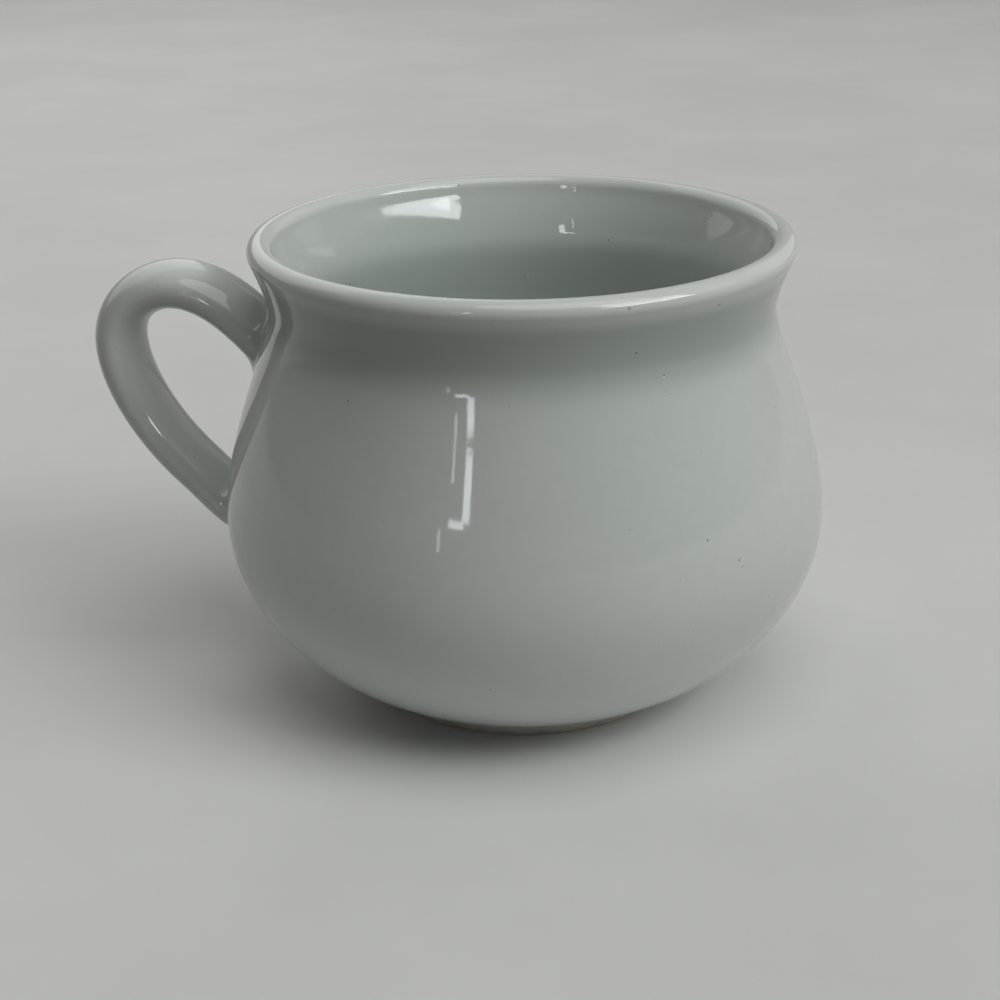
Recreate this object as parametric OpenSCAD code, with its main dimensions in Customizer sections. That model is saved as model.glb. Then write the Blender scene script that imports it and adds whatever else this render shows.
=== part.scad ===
// Shaving mug: a pot-bellied glazed ceramic cup on a small foot, with one ear-shaped handle.
// The cup and the handle are fired clay, joined by two pads of slip (liquid clay),
// and coats of glaze cover everything except the ring that the mug stands on.
// +Z is up, the origin is on the cup's axis in the plane of the foot, and the handle is on -X.

/* [Cup] */
// Height from the foot to the top of the lip
cup_h = 84.5; // [78:0.5:92]
// Largest radius of the belly
belly_r = 54.2; // [51:0.1:57]
// Height of the widest place on the belly
belly_z = 33.8; // [31:0.1:37]
// Smallest radius of the neck, outside
neck_r = 44.7; // [43:0.1:46]
// Height of the narrowest place on the neck
neck_z = 71.6; // [69:0.1:74]
// Radius of the lip, outside
lip_r = 48; // [47:0.1:50]
// Thickness of the wall, with its glaze
wall = 4.3; // [3.6:0.1:5]

/* [Lip] */
// Thickness of the rolled lip
lip_t = 4.4; // [4:0.1:5]
// Height of the lip's round top above its widest place
lip_rise = 2.2; // [1.6:0.1:2.6]

/* [Foot] */
// Radius of the foot ring, outside
foot_r = 28.5; // [26:0.1:30]
// Width of the foot ring
foot_w = 3.6; // [3:0.1:5]
// Height of the bare clay left below the glaze
bare_h = 0.8; // [0.8:0.1:1.2]
// Height of the groove where the belly meets the foot
groove_z = 2.6; // [2.4:0.1:3]
// Depth of the hollow under the floor
recess = 2.2; // [1.8:0.1:2.4]
// Thickness of the floor
floor_t = 4.6; // [4:0.1:5.5]

/* [Handle] */
// Width of the handle across the mug
handle_w = 14.4; // [12:0.1:16]
// Thickness of the handle at its upper root
handle_t_top = 9.2; // [8:0.1:10]
// Thickness of the handle at its lower root
handle_t_low = 7.9; // [7:0.1:9]
// Reach of the handle's centreline from the cup's axis
handle_reach = 76.6; // [74:0.1:80]
// Height of the centreline at its highest place
crown_z = 72; // [70:0.1:74]
// Height of the centreline at the upper root
upper_root_z = 61.7; // [60:0.1:63]
// Height of the centreline at the lower root
lower_root_z = 28.4; // [26:0.1:31]
// Radius of the fillets where the handle flares into the wall
flare = 3; // [2:0.1:4]

/* [Coats] */
// Thickness of the glaze
glaze = 0.35; // [0.3:0.05:0.5]
// Thickness of the slip between the handle and the wall
slip = 0.8; // [0.6:0.1:1.2]

/* [Hidden] */
clay_colour = [0.86, 0.84, 0.79];
slip_colour = [0.82, 0.80, 0.74];
glaze_colour = [0.90, 0.92, 0.91];

// A quarter turn as a cubic Bezier
quarter = 0.5523;
lip_z = cup_h - lip_rise;
lip_half = lip_t / 2;
inner_lip_r = lip_r - lip_t;
inner_neck_r = neck_r - wall * 0.93;
inner_belly_r = belly_r - wall;
floor_z = recess + floor_t;
recess_r = foot_r - foot_w;
// Angle at which the belly leaves the foot
belly_angle = 21.4;
belly_start = [foot_r + 1.2, groove_z];
// Places where the upper and lower halves of the handle join the wall
split_z = (upper_root_z + lower_root_z) / 2;
full_turn = 360;
profile_facets = 180;
// Larger than the mug, for cutting blocks
block = 240;

// Point and direction on a cubic Bezier p, for t from 0 to 1
function bezier(p, t) =
    pow(1 - t, 3) * p[0] + 3 * t * pow(1 - t, 2) * p[1] + 3 * t * t * (1 - t) * p[2] + pow(t, 3) * p[3];
function bezier_slope(p, t) =
    3 * pow(1 - t, 2) * (p[1] - p[0]) + 6 * t * (1 - t) * (p[2] - p[1]) + 3 * t * t * (p[3] - p[2]);
function unit(v) = v / norm(v);
// The right-hand side of a direction, which faces out of the clay along every path below
function right_of(v) = unit([v[1], -v[0]]);

// Points on a path of [steps, Bezier] pieces, moved out of the clay by d
function path_points(path, d) = concat(
    [for (piece = path) for (i = [0 : piece[0] - 1])
        let (t = i / piece[0])
        bezier(piece[1], t) + d * right_of(bezier_slope(piece[1], t))],
    [let (last = path[len(path) - 1][1])
        bezier(last, 1) + d * right_of(bezier_slope(last, 1))]
);
function backwards(points) = [for (i = [len(points) - 1 : -1 : 0]) points[i]];

// The glazed surface outside: up the foot, round the belly, in at the neck and over the lip
outer_path = [
    [4, [[foot_r, bare_h], [foot_r, bare_h + 1], belly_start - [0.8, 0.3], belly_start]],
    [16, [
        belly_start, belly_start + 15.2 * [cos(belly_angle), sin(belly_angle)],
        [belly_r, belly_z - 13.3], [belly_r, belly_z]
    ]],
    [16, [[belly_r, belly_z], [belly_r, belly_z + 14.5], [neck_r, neck_z - 6.2], [neck_r, neck_z]]],
    [10, [[neck_r, neck_z], [neck_r, neck_z + 3.4], [lip_r, lip_z - 0.6], [lip_r, lip_z]]],
    [7, [
        [lip_r, lip_z], [lip_r, lip_z + lip_rise * quarter],
        [lip_r - lip_half * (1 - quarter), cup_h], [lip_r - lip_half, cup_h]
    ]],
    [7, [
        [lip_r - lip_half, cup_h], [inner_lip_r + lip_half * (1 - quarter), cup_h],
        [inner_lip_r, lip_z + lip_rise * quarter], [inner_lip_r, lip_z]
    ]]
];
// The glazed surface inside: from the lip down the wall and in to the floor
inner_path = [
    [8, [[inner_lip_r, lip_z], [inner_lip_r, lip_z - 0.9], [inner_neck_r, neck_z + 4], [inner_neck_r, neck_z]]],
    [14, [
        [inner_neck_r, neck_z], [inner_neck_r, neck_z - 6.5],
        [inner_belly_r, belly_z + 14.5], [inner_belly_r, belly_z]
    ]],
    [14, [
        [inner_belly_r, belly_z], [inner_belly_r, belly_z - 12.3],
        [foot_r + 7.8, floor_z], [foot_r - 1.2, floor_z]
    ]],
    [1, [[foot_r - 1.2, floor_z], [18, floor_z], [9, floor_z], [0, floor_z]]]
];
// The glazed surface of the hollow under the floor, from the axis out to the foot ring
base_path = [
    [1, [[0, recess], [8, recess], [16, recess], [recess_r - 1.6, recess]]],
    [6, [
        [recess_r - 1.6, recess], [recess_r - 0.5, recess],
        [recess_r, recess - 0.4], [recess_r, bare_h]
    ]]
];

// Height and radius of the clay's outside, for finding how far a point is from the wall
clay_outside = path_points([for (i = [0 : 3]) outer_path[i]], -glaze);
wall_table = [for (p = clay_outside) [p[1], p[0]]];
function wall_radius(z) = lookup(z, wall_table);
function off_the_wall(p) = norm([p[0], p[1]]) - wall_radius(p[2]);
function wall_normal(p) = unit([
    p[0] / norm([p[0], p[1]]),
    p[1] / norm([p[0], p[1]]),
    (wall_radius(p[2] - 1) - wall_radius(p[2] + 1)) / 2
]);

// The whole space inside the clay's outside, grown by d
module cup_space(d) {
    outside = path_points([for (i = [0 : 4]) outer_path[i]], d - glaze);
    rotate_extrude(angle = full_turn, $fn = profile_facets)
        polygon(concat([[0, 0], [outside[0][0], 0]], outside, [[0, outside[len(outside) - 1][1]]]));
}

// A coat of glaze on one path
module coat(path) {
    rotate_extrude(angle = full_turn, $fn = profile_facets)
        polygon(concat(path_points(path, 0), backwards(path_points(path, -glaze))));
}

// Handle centreline in its own plane, as [steps, Bezier] pieces of distance from the axis and height
upper_root = [47.3, upper_root_z];
crown = [handle_reach - 11.6, crown_z];
outermost = [handle_reach, crown_z - 11];
lower_root = [53.6, lower_root_z];
rise = [cos(45.5), sin(45.5)];
fall = [cos(28), sin(28)];
// End of the long lower arm, where it starts to turn in to the wall
arm_end = lower_root + [9.2, 8];
arm_fall = [cos(42), sin(42)];
root_length = 7;
handle_path = [
    [7, [
        upper_root - root_length * rise, upper_root - 5 * rise,
        upper_root - 2 * rise, upper_root
    ]],
    [18, [upper_root, upper_root + 4.6 * rise, crown - [8.1, 0], crown]],
    [8, [crown, crown + [5.6, 0], outermost + [0, 7], outermost]],
    [8, [outermost, outermost - [0, 8], arm_end + 10 * arm_fall, arm_end]],
    [12, [arm_end, arm_end - 4.5 * arm_fall, lower_root + 4 * fall, lower_root]],
    [8, [lower_root, lower_root - 2 * fall, lower_root - [5, 1.6], lower_root - [8, 1.6]]]
];
handle_points = path_points(handle_path, 0);
handle_sides = path_points(handle_path, 1);
rings = len(handle_points);
sides = 24;

// How far the surface flares out, at distance d from the wall
function flare_at(d) = d >= flare ? 0 : flare - sqrt(flare * flare - pow(flare - max(d, 0), 2));
// Corner of ring i at angle a round the handle's oval of clay, grown by extra
function oval_corner(i, a, extra) =
    let (
        thick = (handle_t_top + (handle_t_low - handle_t_top) * i / (rings - 1)) / 2 - glaze + extra,
        wide = handle_w / 2 - glaze + extra,
        in_plane = handle_points[i] + thick * cos(a) * (handle_sides[i] - handle_points[i])
    )
    [-in_plane[0], wide * sin(a), in_plane[1]];
// Near the wall the corner moves out along the wall, which makes the fillet
function handle_corner(i, a, extra) =
    let (
        plain = oval_corner(i, a, 0),
        outward = oval_corner(i, a, 1) - plain,
        normal = wall_normal(plain),
        distance = off_the_wall(plain),
        along_wall = unit(outward - (outward * normal) * normal),
        nearness = min(1, max(0, 2 - distance / flare)),
        grow = unit(nearness * along_wall + (1 - nearness) * unit(outward))
    )
    plain + extra * grow + flare_at(distance) * along_wall;
function handle_surface(extra) =
    [for (i = [0 : rings - 1]) for (k = [0 : sides - 1]) handle_corner(i, full_turn * k / sides, extra)];
// Faces of a tube of rings, whose first corner has the number base
function tube_faces(base) = [
    for (i = [0 : rings - 2]) for (k = [0 : sides - 1]) for (half = [0, 1])
        let (
            a = base + i * sides + k,
            b = base + i * sides + (k + 1) % sides,
            c = a + sides,
            d = b + sides
        )
        half == 0 ? [a, b, d] : [a, d, c]
];
function flipped(faces) = [for (f = faces) backwards(f)];

// The handle's clay, run on into the cup at both ends
module handle_bar(extra) {
    first_cap = [for (k = [sides - 1 : -1 : 0]) k];
    last_cap = [for (k = [0 : sides - 1]) (rings - 1) * sides + k];
    polyhedron(
        points = handle_surface(extra),
        faces = concat(tube_faces(0), [first_cap, last_cap]),
        convexity = 6
    );
}

// A skin of glaze round the handle, open at both ends
module handle_skin() {
    inner_first = rings * sides;
    last = (rings - 1) * sides;
    end_faces = [
        for (k = [0 : sides - 1]) for (half = [0, 1])
            let (n = (k + 1) % sides)
            half == 0 ? [n, k, k + inner_first] : [n, k + inner_first, n + inner_first]
    ];
    far_faces = [for (f = flipped(end_faces)) [for (v = f) v + last]];
    polyhedron(
        points = concat(handle_surface(glaze), handle_surface(0)),
        faces = concat(tube_faces(0), flipped(tube_faces(inner_first)), end_faces, far_faces),
        convexity = 8
    );
}

// Everything above, or below, the height where the handle's two joints part
module upper_half() {
    translate([-block / 2, -block / 2, split_z])
        cube(block);
}

module lower_half() {
    translate([-block / 2, -block / 2, split_z - block])
        cube(block);
}

// The layer of slip that covers both roots of the handle
module slip_layer() {
    intersection() {
        handle_bar(0);
        difference() {
            cup_space(slip);
            cup_space(0);
        }
    }
}

module cup_body() {
    outside = path_points(outer_path, -glaze);
    inside = path_points(inner_path, -glaze);
    underside = path_points(base_path, -glaze);
    foot_ring = [
        [recess_r + glaze, 0.5], [recess_r + glaze + 0.6, 0],
        [foot_r - glaze - 0.6, 0], [foot_r - glaze, 0.5]
    ];
    color(clay_colour)
        rotate_extrude(angle = full_turn, $fn = profile_facets)
            polygon(concat(underside, foot_ring, outside, inside));
}

module handle() {
    color(clay_colour)
        difference() {
            handle_bar(0);
            cup_space(slip);
        }
}

module upper_slip_joint() {
    color(slip_colour)
        intersection() {
            slip_layer();
            upper_half();
        }
}

module lower_slip_joint() {
    color(slip_colour)
        intersection() {
            slip_layer();
            lower_half();
        }
}

module outer_glaze() {
    color(glaze_colour)
        difference() {
            coat(outer_path);
            handle_bar(0);
        }
}

module inner_glaze() {
    color(glaze_colour)
        coat(inner_path);
}

module handle_glaze() {
    color(glaze_colour)
        difference() {
            handle_skin();
            cup_space(glaze);
        }
}

module base_glaze() {
    color(glaze_colour)
        coat(base_path);
}

cup_body();
handle();
upper_slip_joint();
lower_slip_joint();
outer_glaze();
inner_glaze();
handle_glaze();
base_glaze();
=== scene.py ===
"""Shaving mug: white glaze over fired clay, on a plain pale floor in soft studio light.

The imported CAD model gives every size. The glaze and the bare clay of the foot are made again here
as smooth turned and swept meshes, because a glossy coat shows every facet.
"""
import math

import bpy
import numpy as np
from mathutils import Matrix, Vector


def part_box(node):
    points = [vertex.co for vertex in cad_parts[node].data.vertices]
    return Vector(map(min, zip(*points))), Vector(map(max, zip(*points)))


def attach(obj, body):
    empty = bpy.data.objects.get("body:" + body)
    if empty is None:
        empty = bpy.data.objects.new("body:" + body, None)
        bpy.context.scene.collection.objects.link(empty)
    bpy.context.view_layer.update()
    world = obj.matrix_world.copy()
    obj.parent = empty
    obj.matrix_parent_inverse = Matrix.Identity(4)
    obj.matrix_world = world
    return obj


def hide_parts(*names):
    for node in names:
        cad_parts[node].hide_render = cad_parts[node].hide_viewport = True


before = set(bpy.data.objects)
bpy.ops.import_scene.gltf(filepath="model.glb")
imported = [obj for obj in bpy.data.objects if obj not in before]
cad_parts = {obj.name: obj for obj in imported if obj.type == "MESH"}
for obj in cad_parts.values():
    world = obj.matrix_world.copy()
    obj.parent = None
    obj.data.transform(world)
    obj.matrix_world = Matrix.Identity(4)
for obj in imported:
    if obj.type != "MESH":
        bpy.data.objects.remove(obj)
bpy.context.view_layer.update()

MM = 0.001

# ---------------------------------------------------------------- sizes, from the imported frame

CLAY_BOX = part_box("cup_body")
OUTER_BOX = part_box("outer_glaze")
INNER_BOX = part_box("inner_glaze")
BASE_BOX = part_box("base_glaze")
HANDLE_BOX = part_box("handle_glaze")

CUP_H = OUTER_BOX[1].z
BELLY_R = OUTER_BOX[1].x
GLAZE = BELLY_R - CLAY_BOX[1].x
LIP_Z = INNER_BOX[1].z
FLOOR_Z = INNER_BOX[0].z + GLAZE
INNER_BELLY_R = INNER_BOX[1].x - GLAZE
BARE_H = BASE_BOX[0].z
RECESS_R = BASE_BOX[1].x - GLAZE
RECESS_Z = BASE_BOX[1].z - GLAZE
HANDLE_W = 14.4 * MM
HANDLE_OUT = -HANDLE_BOX[0].x
HANDLE_TOP = HANDLE_BOX[1].z

# The same shape as the CAD profile, as steps from the sizes above
WALL = BELLY_R - INNER_BELLY_R
LIP_RISE = CUP_H - LIP_Z
LIP_R = BELLY_R - 6.2 * MM
LIP_T = 4.4 * MM
INNER_LIP_R = LIP_R - LIP_T
NECK_R = BELLY_R - 9.5 * MM
NECK_Z = CUP_H - 12.9 * MM
INNER_NECK_R = NECK_R - 0.93 * WALL
BELLY_Z = 0.4 * CUP_H
FOOT_R = RECESS_R + 3.6 * MM
GROOVE = np.array([FOOT_R + 1.2 * MM, BARE_H + 1.8 * MM])
QUARTER = 0.5523  # reach of the Bezier handles of a quarter circle, as a share of its radius


def mm(x, z):
    return np.array([x, z]) * MM


def direction(degrees):
    return np.array([math.cos(math.radians(degrees)), math.sin(math.radians(degrees))])


# ---------------------------------------------------------------- curves

def bezier(p, t):
    """Points on a cubic Bezier, for an array of t."""
    t = np.asarray(t, float)[:, None]
    left = 1 - t
    return left ** 3 * p[0] + 3 * t * left ** 2 * p[1] + 3 * t ** 2 * left * p[2] + t ** 3 * p[3]


CURVE_STEPS = 400


def along(pieces, spacing):
    """Evenly spaced points on a run of cubic Beziers."""
    t = np.linspace(0, 1, CURVE_STEPS)
    dense = [np.asarray(pieces[0][0], float)[None]]
    for piece in pieces:
        dense.append(bezier(np.asarray(piece, float), t)[1:])
    dense = np.vstack(dense)
    length = np.r_[0, np.cumsum(np.linalg.norm(np.diff(dense, axis=0), axis=1))]
    count = max(3, int(length[-1] / spacing) + 1)
    at = np.linspace(0, length[-1], count)
    return np.column_stack([np.interp(at, length, dense[:, k]) for k in (0, 1)])


def right_of(points):
    """Unit normals on the right-hand side of a run of points, which faces out of the clay."""
    step = np.gradient(points, axis=0)
    normal = np.column_stack([step[:, 1], -step[:, 0]])
    return normal / np.linalg.norm(normal, axis=1)[:, None]


def corner(start, turn, end):
    """A round corner between two points, as one Bezier that bends at turn."""
    start, turn, end = (np.asarray(p, float) for p in (start, turn, end))
    return [start, start + QUARTER * (turn - start), end + QUARTER * (turn - end), end]


def straight(start, end):
    start, end = np.asarray(start, float), np.asarray(end, float)
    return [start, start + (end - start) / 3, end - (end - start) / 3, end]


OUTER_PIECES = [
    [[FOOT_R, BARE_H + GLAZE], [FOOT_R, BARE_H + MM], GROOVE - mm(0.8, 0.3), GROOVE],
    [GROOVE, GROOVE + 15.2 * MM * direction(21.4), [BELLY_R, BELLY_Z - 13.3 * MM], [BELLY_R, BELLY_Z]],
    [[BELLY_R, BELLY_Z], [BELLY_R, BELLY_Z + 14.5 * MM], [NECK_R, NECK_Z - 6.2 * MM], [NECK_R, NECK_Z]],
    [[NECK_R, NECK_Z], [NECK_R, NECK_Z + 3.4 * MM], [LIP_R, LIP_Z - 0.6 * MM], [LIP_R, LIP_Z]],
]
LIP_PIECES = [
    corner([LIP_R, LIP_Z], [LIP_R, CUP_H], [LIP_R - LIP_T / 2, CUP_H]),
    corner([LIP_R - LIP_T / 2, CUP_H], [INNER_LIP_R, CUP_H], [INNER_LIP_R, LIP_Z]),
]
INNER_PIECES = [
    [[INNER_LIP_R, LIP_Z], [INNER_LIP_R, LIP_Z - 0.9 * MM],
     [INNER_NECK_R, NECK_Z + 4 * MM], [INNER_NECK_R, NECK_Z]],
    [[INNER_NECK_R, NECK_Z], [INNER_NECK_R, NECK_Z - 6.5 * MM],
     [INNER_BELLY_R, BELLY_Z + 14.5 * MM], [INNER_BELLY_R, BELLY_Z]],
    [[INNER_BELLY_R, BELLY_Z], [INNER_BELLY_R, BELLY_Z - 12.3 * MM],
     [FOOT_R + 7.8 * MM, FLOOR_Z], [FOOT_R - 1.2 * MM, FLOOR_Z]],
    straight([FOOT_R - 1.2 * MM, FLOOR_Z], [0, FLOOR_Z]),
]
BASE_PIECES = [
    straight([0, RECESS_Z], [RECESS_R - 1.6 * MM, RECESS_Z]),
    [[RECESS_R - 1.6 * MM, RECESS_Z], [RECESS_R - 0.5 * MM, RECESS_Z],
     [RECESS_R, RECESS_Z - 0.3 * MM], [RECESS_R, BARE_H + GLAZE]],
]

# ---------------------------------------------------------------- meshes

TURN_STEPS = 216
PROFILE_STEP = 0.7 * MM
FOOT_STEP = 0.12 * MM
FOOT_EDGE = 0.4 * MM
COAT_EDGE_STEPS = 5


def new_object(name, points, faces, sharp_above=35):
    mesh = bpy.data.meshes.new(name)
    mesh.from_pydata([tuple(p) for p in points], [], faces)
    mesh.validate()
    mesh.shade_smooth()
    mesh.set_sharp_from_angle(angle=math.radians(sharp_above))
    piece = bpy.data.objects.new(name, mesh)
    bpy.context.scene.collection.objects.link(piece)
    return piece


def lathe(name, outline, closed=True):
    """Turns an outline of (radius, height) about the cup's axis; points on the axis become one."""
    angles = np.linspace(0, 2 * math.pi, TURN_STEPS, endpoint=False)
    points, rings = [], []
    for radius, height in outline:
        if radius < 1e-6:
            rings.append([len(points)])
            points.append((0, 0, height))
            continue
        rings.append(list(range(len(points), len(points) + TURN_STEPS)))
        points.extend((radius * math.cos(a), radius * math.sin(a), height) for a in angles)
    pairs = list(zip(rings, rings[1:]))
    if closed:
        pairs.append((rings[-1], rings[0]))
    faces = []
    for low, high in pairs:
        if len(low) == 1 and len(high) == 1:
            continue
        for k in range(TURN_STEPS):
            n = (k + 1) % TURN_STEPS
            if len(low) == 1:
                faces.append((low[0], high[n], high[k]))
            elif len(high) == 1:
                faces.append((low[k], low[n], high[0]))
            else:
                faces.append((low[k], low[n], high[n], high[k]))
    return new_object(name, points, faces)


def coat_outline(pieces, start_at_clay=False, end_at_clay=False):
    """Outline of a coat of glaze: its face, then back along the clay under it.

    Where a coat ends at bare clay its edge is rounded down to the clay.
    """
    face = along(pieces, PROFILE_STEP)
    normal = right_of(face)
    clay = face - GLAZE * normal
    edge = np.linspace(0, math.pi / 2, COAT_EDGE_STEPS + 1)[1:]
    run = face
    if start_at_clay:
        back = -np.array([-normal[0][1], normal[0][0]])
        curl = [clay[0] + GLAZE * (math.cos(a) * normal[0] + math.sin(a) * back) for a in edge]
        run = np.vstack([curl[::-1], run])
    if end_at_clay:
        on = np.array([-normal[-1][1], normal[-1][0]])
        curl = [clay[-1] + GLAZE * (math.cos(a) * normal[-1] + math.sin(a) * on) for a in edge]
        run = np.vstack([run, curl])
    return np.vstack([run, clay[::-1]])


# ---------------------------------------------------------------- the wall that the handle joins

WALL_LINE = along(OUTER_PIECES, 0.05 * MM)
WALL_NORMAL = right_of(WALL_LINE)


def wall_radius(z):
    return np.interp(z, WALL_LINE[:, 1], WALL_LINE[:, 0])


def wall_normal(p):
    """Unit normals of the cup's outside at the heights and directions of the points p."""
    out = np.interp(p[..., 2], WALL_LINE[:, 1], WALL_NORMAL[:, 0])
    up = np.interp(p[..., 2], WALL_LINE[:, 1], WALL_NORMAL[:, 1])
    rho = np.hypot(p[..., 0], p[..., 1])
    normal = np.stack([out * p[..., 0] / rho, out * p[..., 1] / rho, up], -1)
    return normal / np.linalg.norm(normal, axis=-1, keepdims=True)


def off_the_wall(p):
    return np.hypot(p[..., 0], p[..., 1]) - wall_radius(p[..., 2])


# ---------------------------------------------------------------- the handle

UPPER_T = 9.2 * MM
LOWER_T = 7.9 * MM
FILLET = 3.4 * MM
CROWN = np.array([HANDLE_OUT - 16.0 * MM, HANDLE_TOP - 4.4 * MM])
OUTERMOST = np.array([HANDLE_OUT - 4.3 * MM, HANDLE_TOP - 15.4 * MM])
UPPER_ROOT = np.array([NECK_R + 2.6 * MM, NECK_Z - 9.9 * MM])
LOWER_ROOT = np.array([BELLY_R - 0.6 * MM, BELLY_Z - 5.4 * MM])
ARM_END = LOWER_ROOT + mm(9.2, 8)
RISE = direction(45.5)
FALL = direction(28)
ARM_FALL = direction(42)
CENTRELINE = [
    straight(UPPER_ROOT - 7 * MM * RISE, UPPER_ROOT),
    [UPPER_ROOT, UPPER_ROOT + 4.6 * MM * RISE, CROWN - mm(8.1, 0), CROWN],
    [CROWN, CROWN + mm(5.6, 0), OUTERMOST + mm(0, 7), OUTERMOST],
    [OUTERMOST, OUTERMOST - mm(0, 8), ARM_END + 10 * MM * ARM_FALL, ARM_END],
    [ARM_END, ARM_END - 4.5 * MM * ARM_FALL, LOWER_ROOT + 4 * MM * FALL, LOWER_ROOT],
    straight(LOWER_ROOT, LOWER_ROOT - mm(8, 1.6)),
]
LINE = along(CENTRELINE, 0.1 * MM)
SIDE = right_of(LINE)
PLACES = np.linspace(0, 1, len(LINE))


def handle_surface(u, angle):
    """Points on the plain oval of the handle, at u along it and angle round it."""
    centre = np.stack([np.interp(u, PLACES, LINE[:, k]) for k in (0, 1)], -1)
    side = np.stack([np.interp(u, PLACES, SIDE[:, k]) for k in (0, 1)], -1)
    thick = (UPPER_T + (LOWER_T - UPPER_T) * u) / 2
    in_plane = centre + (thick * np.cos(angle))[..., None] * side
    return np.stack([-in_plane[..., 0], HANDLE_W / 2 * np.sin(angle), in_plane[..., 1]], -1)


HALVINGS = 40


def wall_crossing(angle, low, high):
    """Where each line of the handle's surface meets the wall, between two places along it."""
    low, high = np.full(angle.shape, low), np.full(angle.shape, high)
    inside_first = off_the_wall(handle_surface(low, angle)) < 0
    for _ in range(HALVINGS):
        middle = (low + high) / 2
        inside = off_the_wall(handle_surface(middle, angle)) < 0
        move_low = inside == inside_first
        low = np.where(move_low, middle, low)
        high = np.where(move_low, high, middle)
    return (low + high) / 2


def flared(plain, angle, u):
    """Moves points near the wall out along it, so that the handle runs into the wall on a fillet."""
    distance = off_the_wall(plain)
    left = np.clip(FILLET - distance, 0, FILLET)
    flare = FILLET - np.sqrt(FILLET ** 2 - left ** 2)
    front, back = (handle_surface(u, np.full(angle.shape, side)) for side in (0.0, math.pi))
    outward = plain - (front + back) / 2
    normal = wall_normal(plain)
    outward -= np.sum(outward * normal, -1, keepdims=True) * normal
    outward /= np.linalg.norm(outward, axis=-1, keepdims=True)
    moved = plain + flare[..., None] * outward
    rho = np.hypot(moved[..., 0], moved[..., 1])
    scale = (wall_radius(moved[..., 2]) + distance) / rho
    blend = np.where(distance < FILLET, scale, 1.0)
    moved[..., 0] *= blend
    moved[..., 1] *= blend
    return moved


HANDLE_ROWS = 260
HANDLE_SIDES = 112
CROWDING = 0.93  # how closely the rows crowd together towards the wall, from 0 to 1


def make_handle():
    """The handle's coat of glaze: a closed shell whose edges lie on the wall and are tangent to it."""
    angle = np.linspace(0, 2 * math.pi, HANDLE_SIDES, endpoint=False)
    start = wall_crossing(angle, 0.0, 0.3)
    end = wall_crossing(angle, 0.7, 1.0)
    w = np.linspace(0, 1, HANDLE_ROWS)
    eased = w - CROWDING * np.sin(2 * math.pi * w) / (2 * math.pi)
    u = start + (end - start) * eased[:, None]
    angles = np.broadcast_to(angle, u.shape)
    outside = flared(handle_surface(u, angles), angles, u)
    around = np.roll(outside, -1, axis=1) - np.roll(outside, 1, axis=1)
    normal = np.cross(around, np.gradient(outside, axis=0))
    normal /= np.linalg.norm(normal, axis=-1, keepdims=True)
    middle = HANDLE_ROWS // 2
    centre = outside[middle].mean(axis=0)
    if np.sum(normal[middle] * (outside[middle] - centre)) < 0:
        normal = -normal
    for row in (0, -1):
        normal[row] = wall_normal(outside[row])
    for row in (1, -2):
        normal[row] += wall_normal(outside[row])
        normal[row] /= np.linalg.norm(normal[row], axis=-1, keepdims=True)
    inside = outside - GLAZE * normal
    count = HANDLE_ROWS * HANDLE_SIDES
    points = np.vstack([outside.reshape(-1, 3), inside.reshape(-1, 3)])
    faces = []
    for i in range(HANDLE_ROWS - 1):
        for k in range(HANDLE_SIDES):
            a, b = i * HANDLE_SIDES + k, i * HANDLE_SIDES + (k + 1) % HANDLE_SIDES
            c, d = a + HANDLE_SIDES, b + HANDLE_SIDES
            faces.append((a, c, d, b))
            faces.append((count + b, count + d, count + c, count + a))
    last = (HANDLE_ROWS - 1) * HANDLE_SIDES
    for k in range(HANDLE_SIDES):
        n = (k + 1) % HANDLE_SIDES
        faces.append((k, n, count + n, count + k))
        faces.append((last + n, last + k, count + last + k, count + last + n))
    piece = new_object("handle_coat", points, faces, sharp_above=50)
    mesh = piece.data
    smooth = [tuple(v) for v in np.vstack([normal.reshape(-1, 3), -normal.reshape(-1, 3)])]
    corner_normals = [smooth[loop.vertex_index] for loop in mesh.loops]
    mesh.normals_split_custom_set(corner_normals)
    return piece


# ---------------------------------------------------------------- materials

def node(tree, kind, **settings):
    new = tree.nodes.new(kind)
    for key, value in settings.items():
        if key in new.inputs:
            new.inputs[key].default_value = value
        else:
            setattr(new, key, value)
    return new


def ramp(tree, source, stops):
    """A colour ramp over a value; stops are (place, colour) pairs."""
    new = node(tree, "ShaderNodeValToRGB")
    new.color_ramp.interpolation = "EASE"
    elements = new.color_ramp.elements
    while len(elements) < len(stops):
        elements.new(0.5)
    for element, (place, colour) in zip(elements, stops):
        element.position = place
        element.color = (*colour, 1)
    tree.links.new(source, new.inputs["Fac"])
    return new.outputs["Color"]


def maths(tree, operation, a, b=None, c=None):
    new = node(tree, "ShaderNodeMath", operation=operation)
    for socket, value in zip(new.inputs, (a, b, c)):
        if value is None:
            continue
        if isinstance(value, (int, float)):
            socket.default_value = value
        else:
            tree.links.new(value, socket)
    return new.outputs[0]


def mix(tree, factor, a, b, blend="MIX"):
    new = node(tree, "ShaderNodeMix", data_type="RGBA", blend_type=blend)
    for socket, value in ((new.inputs[0], factor), (new.inputs[6], a), (new.inputs[7], b)):
        if isinstance(value, (int, float)):
            socket.default_value = value
        elif isinstance(value, tuple):
            socket.default_value = (*value, 1)
        else:
            tree.links.new(value, socket)
    return new.outputs[2]


def grain(tree, place, scale, detail=3.0, roughness=0.5):
    """Noise over the object's own space; scale is in cycles per metre."""
    new = node(tree, "ShaderNodeTexNoise", Scale=scale, Detail=detail, Roughness=roughness)
    tree.links.new(place, new.inputs["Vector"])
    return new.outputs["Fac"]


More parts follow.
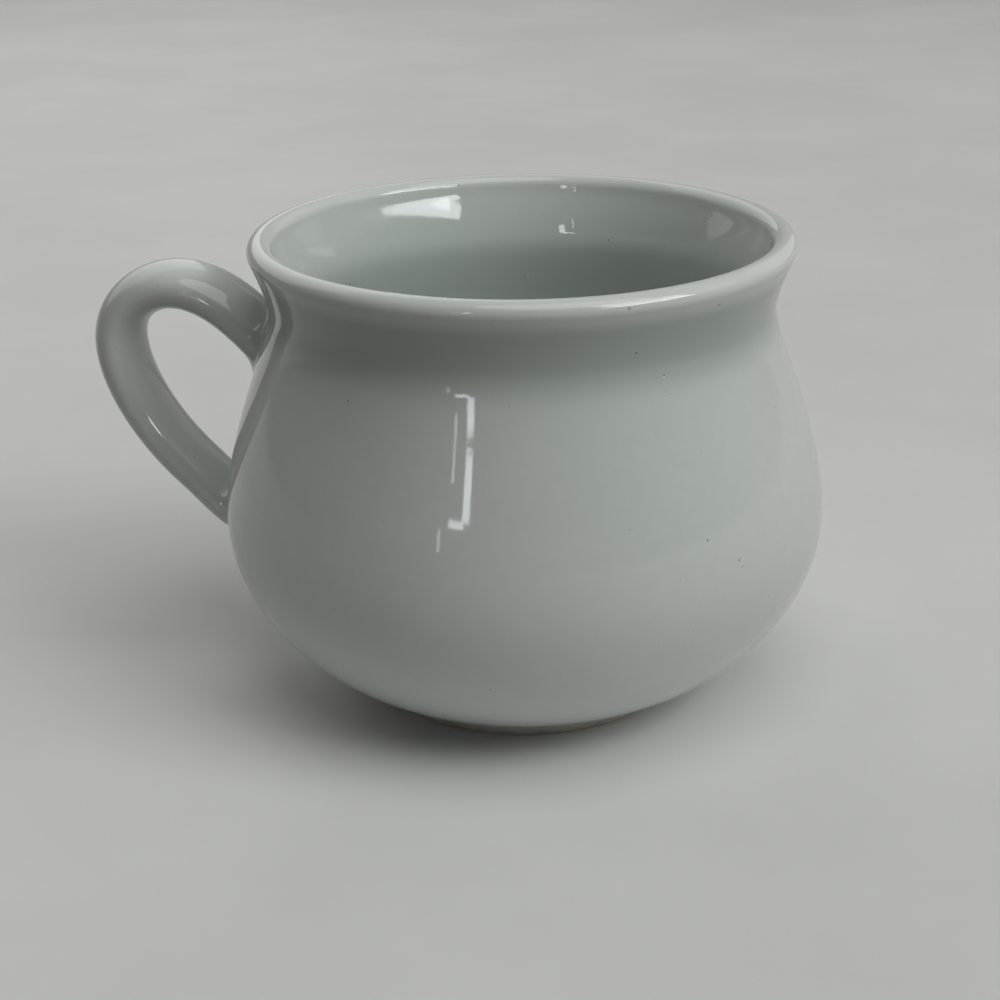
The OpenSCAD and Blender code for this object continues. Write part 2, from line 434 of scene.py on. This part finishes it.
def specks(tree, place, spacing, size, share):
    """A mask of small round specks: one in each cell of that spacing, kept in a share of the cells."""
    cell = node(tree, "ShaderNodeTexVoronoi", Scale=1 / spacing, Randomness=1.0)
    tree.links.new(place, cell.inputs["Vector"])
    edge = size / spacing
    dot = node(tree, "ShaderNodeMapRange", **{"From Min": edge, "From Max": 0.4 * edge})
    tree.links.new(cell.outputs["Distance"], dot.inputs["Value"])
    pick = node(tree, "ShaderNodeSeparateColor")
    tree.links.new(cell.outputs["Color"], pick.inputs["Color"])
    kept = maths(tree, "LESS_THAN", pick.outputs[0], share)
    return maths(tree, "MULTIPLY", dot.outputs["Result"], kept)


def new_material(name):
    material = bpy.data.materials.new(name)
    material.use_nodes = True
    tree = material.node_tree
    shader = tree.nodes["Principled BSDF"]
    place = tree.nodes.new("ShaderNodeTexCoord").outputs["Object"]
    return material, tree, shader, place


def bump(tree, height, distance, under=None):
    new = node(tree, "ShaderNodeBump", Distance=distance)
    tree.links.new(height, new.inputs["Height"])
    if under is not None:
        tree.links.new(under, new.inputs["Normal"])
    return new.outputs["Normal"]


def fade(tree, value, start, end):
    """0 at start and 1 at end, with a smooth change between them."""
    new = node(tree, "ShaderNodeMapRange", interpolation_type="SMOOTHSTEP",
               **{"From Min": start, "From Max": end})
    tree.links.new(value, new.inputs["Value"])
    return new.outputs["Result"]


def all_of(tree, *values):
    """Several masks multiplied together."""
    result = values[0]
    for value in values[1:]:
        result = maths(tree, "MULTIPLY", result, value)
    return result


def glaze_depth_and_light_masks(tree, place):
    """Masks of where the glaze is darker, under the lip and a little at the foot, and where it is
    lighter, on the lip and the handle's crown. They are partly glaze pooling and thinning, partly
    painted shade under the lip and at the foot and painted light on the upward-facing lip and crown.
    """
    parts = node(tree, "ShaderNodeSeparateXYZ")
    tree.links.new(place, parts.inputs["Vector"])
    height = parts.outputs["Z"]
    flat = node(tree, "ShaderNodeVectorMath", operation="MULTIPLY")
    tree.links.new(place, flat.inputs[0])
    flat.inputs[1].default_value = (1, 1, 0)
    length = node(tree, "ShaderNodeVectorMath", operation="LENGTH")
    tree.links.new(flat.outputs["Vector"], length.inputs[0])
    radius = length.outputs["Value"]
    neck = all_of(tree,
                  fade(tree, height, NECK_Z - 6 * MM, NECK_Z + MM),
                  fade(tree, height, LIP_Z - MM, LIP_Z - 4 * MM),
                  fade(tree, radius, NECK_R - MM, NECK_R - 0.4 * MM),
                  fade(tree, radius, LIP_R + 2 * MM, LIP_R))
    foot = all_of(tree,
                  fade(tree, height, 4.5 * MM, 2.2 * MM),
                  fade(tree, radius, FOOT_R - 2 * MM, FOOT_R))
    lip = fade(tree, height, LIP_Z - MM, CUP_H - 0.6 * MM)
    ridge = all_of(tree,
                   fade(tree, radius, BELLY_R, BELLY_R + 6 * MM),
                   fade(tree, height, CROWN[1], HANDLE_TOP))
    pooled_glaze_and_painted_shade = maths(tree, "MAXIMUM", neck, maths(tree, "MULTIPLY", foot, 0.1))
    return pooled_glaze_and_painted_shade, maths(tree, "MAXIMUM", lip, ridge)


def glaze_material():
    """Glossy white glaze: slow drifts of tone, iron specks, pinholes, a faint ripple and soft wear."""
    material, tree, shader, place = new_material("white_glaze")
    links = tree.links
    drift = ramp(tree, grain(tree, place, 18, 2), [
        (0.30, (0.575, 0.620, 0.595)), (0.50, (0.605, 0.640, 0.612)), (0.72, (0.630, 0.650, 0.615))
    ])
    fine = ramp(tree, grain(tree, place, 420, 4, 0.6), [(0.35, (0.982,) * 3), (0.65, (1.0,) * 3)])
    colour = mix(tree, 1.0, drift, fine, "MULTIPLY")
    pooled_glaze_and_painted_shade, thin_glaze_and_painted_light = glaze_depth_and_light_masks(tree, place)
    # Painted shade: the glaze is darkened under the lip and a little at the foot, partly for glaze
    # pooling and partly to stand in for the shade there.
    colour = mix(tree, maths(tree, "MULTIPLY", pooled_glaze_and_painted_shade, 0.75), colour, (0.350, 0.395, 0.372))
    # Painted light: the lip and the handle's crown are lightened, partly for glaze thinning and partly
    # to stand in for light falling on their upward faces.
    colour = mix(tree, maths(tree, "MULTIPLY", thin_glaze_and_painted_light, 0.50), colour, (0.800, 0.815, 0.790))
    iron = specks(tree, place, 4.2 * MM, 0.27 * MM, 0.30)
    small_iron = specks(tree, place, 2.4 * MM, 0.15 * MM, 0.16)
    colour = mix(tree, maths(tree, "MULTIPLY", iron, 0.75), colour, (0.17, 0.14, 0.11))
    colour = mix(tree, maths(tree, "MULTIPLY", small_iron, 0.55), colour, (0.30, 0.27, 0.23))
    links.new(colour, shader.inputs["Base Color"])
    worn = ramp(tree, grain(tree, place, 60, 5, 0.65), [(0.42, (0.045,) * 3), (0.75, (0.085,) * 3)])
    links.new(worn, shader.inputs["Roughness"])
    ripple = bump(tree, grain(tree, place, 45, 1, 0.4), 0.07 * MM)
    orange_peel = bump(tree, grain(tree, place, 700, 2, 0.5), 0.0035 * MM, under=ripple)
    pits = bump(tree, maths(tree, "SUBTRACT", 1.0, maths(tree, "MAXIMUM", iron, small_iron)),
                0.05 * MM, under=orange_peel)
    links.new(pits, shader.inputs["Normal"])
    shader.inputs["IOR"].default_value = 1.52
    shader.inputs["Subsurface Weight"].default_value = 0.06
    shader.inputs["Subsurface Radius"].default_value = (1.0, 0.9, 0.75)
    shader.inputs["Subsurface Scale"].default_value = 1.5 * MM
    return material


def clay_material(name, light, dark):
    """Bare fired clay: matt, sandy and slightly stained."""
    material, tree, shader, place = new_material(name)
    links = tree.links
    tone = ramp(tree, grain(tree, place, 160, 5, 0.6), [(0.30, dark), (0.62, light)])
    grit = specks(tree, place, 0.9 * MM, 0.16 * MM, 0.25)
    colour = mix(tree, maths(tree, "MULTIPLY", grit, 0.5), tone, (0.33, 0.27, 0.20))
    links.new(colour, shader.inputs["Base Color"])
    links.new(ramp(tree, grain(tree, place, 900, 3), [(0.3, (0.72,) * 3), (0.7, (0.92,) * 3)]),
              shader.inputs["Roughness"])
    links.new(bump(tree, grain(tree, place, 2600, 3, 0.7), 0.03 * MM), shader.inputs["Normal"])
    shader.inputs["IOR"].default_value = 1.45
    return material


def floor_material():
    """Pale matt paper with a little mottling.

    It lights the mug as a small sheet would that ends just in front of the picture, with a dark room
    beyond it, though it is shown as far as any view reaches.
    """
    material, tree, shader, place = new_material("pale_paper")
    links = tree.links
    colour = ramp(tree, grain(tree, place, 9, 5, 0.6), [
        (0.30, (0.690, 0.682, 0.678)), (0.70, (0.742, 0.734, 0.730))
    ])
    away = node(tree, "ShaderNodeVectorMath", operation="LENGTH")
    links.new(place, away.inputs[0])
    forwards = node(tree, "ShaderNodeVectorMath", operation="DOT_PRODUCT")
    links.new(place, forwards.inputs[0])
    forwards.inputs[1].default_value = towards(-120, 0)
    front = fade(tree, forwards.outputs["Value"], -1.5 * CUP_H, 2.5 * CUP_H)
    dimming = all_of(tree, fade(tree, away.outputs["Value"], 0.5 * CUP_H, 2.0 * CUP_H),
                     maths(tree, "MULTIPLY_ADD", front, 0.55, 0.30),
                     node(tree, "ShaderNodeLightPath").outputs["Is Diffuse Ray"])
    colour = mix(tree, dimming, colour, (0.0, 0.0, 0.0))
    links.new(colour, shader.inputs["Base Color"])
    links.new(bump(tree, grain(tree, place, 1400, 3, 0.6), 0.02 * MM), shader.inputs["Normal"])
    shader.inputs["Roughness"].default_value = 0.55
    shader.inputs["Specular IOR Level"].default_value = 0.35
    return material


GLAZE_LOOK = glaze_material()
CLAY_LOOK = clay_material("biscuit_clay", (0.66, 0.60, 0.50), (0.50, 0.44, 0.35))
SLIP_LOOK = clay_material("fired_slip", (0.62, 0.57, 0.49), (0.47, 0.42, 0.35))

# ---------------------------------------------------------------- the mug


def place_piece(piece, material, slot, *replaced):
    piece.data.materials.clear()
    piece.data.materials.append(material)
    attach(piece, "root")
    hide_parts(*replaced)
    return piece


def make_cup_clay():
    """The clay cup under its glaze, with the bare foot ring rounded at its edges."""
    outside = along(OUTER_PIECES + LIP_PIECES, PROFILE_STEP)
    inside = along(INNER_PIECES, PROFILE_STEP)
    under = along(BASE_PIECES, PROFILE_STEP)
    outside, inside, under = (p - GLAZE * right_of(p) for p in (outside, inside, under))
    inner_edge, outer_edge = under[-1], outside[0]
    inner_r, outer_r = inner_edge[0], outer_edge[0]
    foot = along([
        straight(inner_edge, [inner_r, FOOT_EDGE]),
        corner([inner_r, FOOT_EDGE], [inner_r, 0], [inner_r + FOOT_EDGE, 0]),
        straight([inner_r + FOOT_EDGE, 0], [outer_r - FOOT_EDGE, 0]),
        corner([outer_r - FOOT_EDGE, 0], [outer_r, 0], [outer_r, FOOT_EDGE]),
        straight([outer_r, FOOT_EDGE], outer_edge),
    ], FOOT_STEP)
    under[0, 0] = 0
    inside[-1, 0] = 0
    outline = np.vstack([under, foot[1:-1], outside, inside[1:]])
    return lathe("cup_clay", outline, closed=False)


def make_mug():
    outer = lathe("outer_coat", coat_outline(OUTER_PIECES + LIP_PIECES, start_at_clay=True))
    inner = lathe("inner_coat", coat_outline(INNER_PIECES))
    base = lathe("base_coat", coat_outline(BASE_PIECES, end_at_clay=True))
    place_piece(make_cup_clay(), CLAY_LOOK, "clay", "cup_body")
    place_piece(outer, GLAZE_LOOK, "glaze", "outer_glaze")
    place_piece(inner, GLAZE_LOOK, "glaze", "inner_glaze")
    place_piece(base, GLAZE_LOOK, "glaze", "base_glaze")
    place_piece(make_handle(), GLAZE_LOOK, "glaze", "handle_glaze")
    cad_looks = {"handle": CLAY_LOOK, "upper_slip_joint": SLIP_LOOK, "lower_slip_joint": SLIP_LOOK}
    for name, look in cad_looks.items():
        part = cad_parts[name]
        part.data.materials.clear()
        part.data.materials.append(look)


make_mug()

# ---------------------------------------------------------------- floor, light and camera

FLOOR_R = 50 * CUP_H
FLOOR_SIDES = 96


def make_floor():
    mesh = bpy.data.meshes.new("floor")
    angles = np.linspace(0, 2 * math.pi, FLOOR_SIDES, endpoint=False)
    rim = [(FLOOR_R * math.cos(a), FLOOR_R * math.sin(a), 0) for a in angles]
    mesh.from_pydata(rim, [], [list(range(FLOOR_SIDES))])
    floor = bpy.data.objects.new("floor", mesh)
    bpy.context.scene.collection.objects.link(floor)
    mesh.materials.append(floor_material())


AIM = Vector((0, 0, 0.5 * CUP_H))
FAR_LIGHT = 20
DOOR_AWAY = 12


def towards(azimuth, elevation):
    """Unit vector from the mug; azimuth is anticlockwise from +X, in degrees."""
    a, e = math.radians(azimuth), math.radians(elevation)
    return Vector((math.cos(a) * math.cos(e), math.sin(a) * math.cos(e), math.sin(e)))


def place_light(light, azimuth, elevation, distance, colour):
    """Puts a light in that direction from the mug, facing it; distance is in cup heights."""
    light.color = colour
    lamp = bpy.data.objects.new(light.name, light)
    away = towards(azimuth, elevation)
    lamp.location = AIM + distance * CUP_H * away
    lamp.rotation_euler = away.to_track_quat("Z", "Y").to_euler()
    lamp.visible_camera = False
    bpy.context.scene.collection.objects.link(lamp)
    return lamp


def softbox(name, azimuth, elevation, distance, width, height, brightness, colour=(1, 1, 1)):
    """A rectangular light; lengths are in cup heights, and brightness is its radiance."""
    light = bpy.data.lights.new(name, "AREA")
    light.shape = "RECTANGLE"
    light.size, light.size_y = width * CUP_H, height * CUP_H
    light.energy = brightness * math.pi * light.size * light.size_y
    return place_light(light, azimuth, elevation, distance, colour)


def skylight(name, azimuth, elevation, strength, spread, colour):
    """Far-off light from a round patch of sky, which lights the whole floor evenly."""
    light = bpy.data.lights.new(name, "SUN")
    light.energy = strength
    light.angle = math.radians(spread)
    place_light(light, azimuth, elevation, FAR_LIGHT, colour)


def make_lights():
    skylight("skylight", -46, 67, 0.98, 50, (0.98, 1.0, 0.99))
    # The window's lower pane is only seen reflected, inside the far rim and along the near one
    softbox("window", -22, 38.5, 15, 8.6, 5.6, 4.7, (0.96, 1.0, 0.99))
    pane = softbox("low_pane", -24, 27.5, 15, 10.5, 1.6, 8, (0.96, 1.0, 1.0))
    pane.visible_diffuse = False
    softbox("right_wall", 10, 34, 13, 7, 6, 0.5)
    softbox("back_card", 142, 34, 12, 16, 10, 0.78, (0.98, 1.0, 0.99))
    softbox("back_wall", 60, 20, 12, 9, 7, 0.3, (1.0, 0.97, 0.92))
    # Daylight through a half-closed door, as a broken streak that is only seen reflected:
    # azimuth, elevation, width, height, brightness
    gaps = [
        (-99.5, 14.5, 0.55, 1.75, 8),
        (-103, 9.6, 1.15, 0.34, 8),
        (-105.5, 19.5, 0.16, 1.5, 5),
        (-109, 5.5, 0.16, 1.1, 5),
    ]
    for k, (azimuth, elevation, width, height, brightness) in enumerate(gaps):
        name = f"door_gap_{k}"
        gap = softbox(name, azimuth, elevation, DOOR_AWAY, width, height, brightness, (0.90, 0.95, 1.0))
        gap.visible_diffuse = False


def make_world():
    """A dim room: darker and warmer in front and to the left, paler behind and along the horizon."""
    world = bpy.data.worlds.new("studio")
    world.use_nodes = True
    tree = world.node_tree
    background = tree.nodes["Background"]
    way = node(tree, "ShaderNodeTexCoord").outputs["Generated"]
    backwards = node(tree, "ShaderNodeVectorMath", operation="DOT_PRODUCT")
    tree.links.new(way, backwards.inputs[0])
    backwards.inputs[1].default_value = towards(75, 0)
    tones = ramp(tree, maths(tree, "MULTIPLY_ADD", backwards.outputs["Value"], 0.5, 0.5), [
        (0.0, (0.010, 0.009, 0.008)), (0.45, (0.030, 0.028, 0.025)),
        (0.85, (0.14, 0.14, 0.13)), (1.0, (0.19, 0.19, 0.18))
    ])
    parts = node(tree, "ShaderNodeSeparateXYZ")
    tree.links.new(way, parts.inputs["Vector"])
    horizon = fade(tree, parts.outputs["Z"], 0.27, 0.05)
    tree.links.new(mix(tree, horizon, tones, (0.27, 0.265, 0.255)), background.inputs["Color"])
    background.inputs["Strength"].default_value = 1.0
    bpy.context.scene.world = world


def make_camera():
    """The camera stands in front of the mug and a little to the right, and looks down at it."""
    azimuth, pitch, yaw, roll = -78.0, 21.31, -0.75, -0.93
    away, height = 4.058 * CUP_H, 1.982 * CUP_H
    data = bpy.data.cameras.new("camera")
    data.sensor_width = 36
    data.lens = 72
    data.clip_start, data.clip_end = 0.01, 60
    camera = bpy.data.objects.new("camera", data)
    bpy.context.scene.collection.objects.link(camera)
    turn = Matrix.Rotation(math.radians(azimuth + 90 - yaw), 4, "Z")
    tilt = Matrix.Rotation(math.radians(90 - pitch), 4, "X")
    twist = Matrix.Rotation(math.radians(roll), 4, "Z")
    a = math.radians(azimuth)
    spot = Matrix.Translation((away * math.cos(a), away * math.sin(a), height))
    camera.matrix_world = spot @ turn @ tilt @ twist
    bpy.context.scene.camera = camera


make_floor()
make_lights()
make_world()
make_camera()
bpy.context.scene.view_settings.view_transform = "Standard"
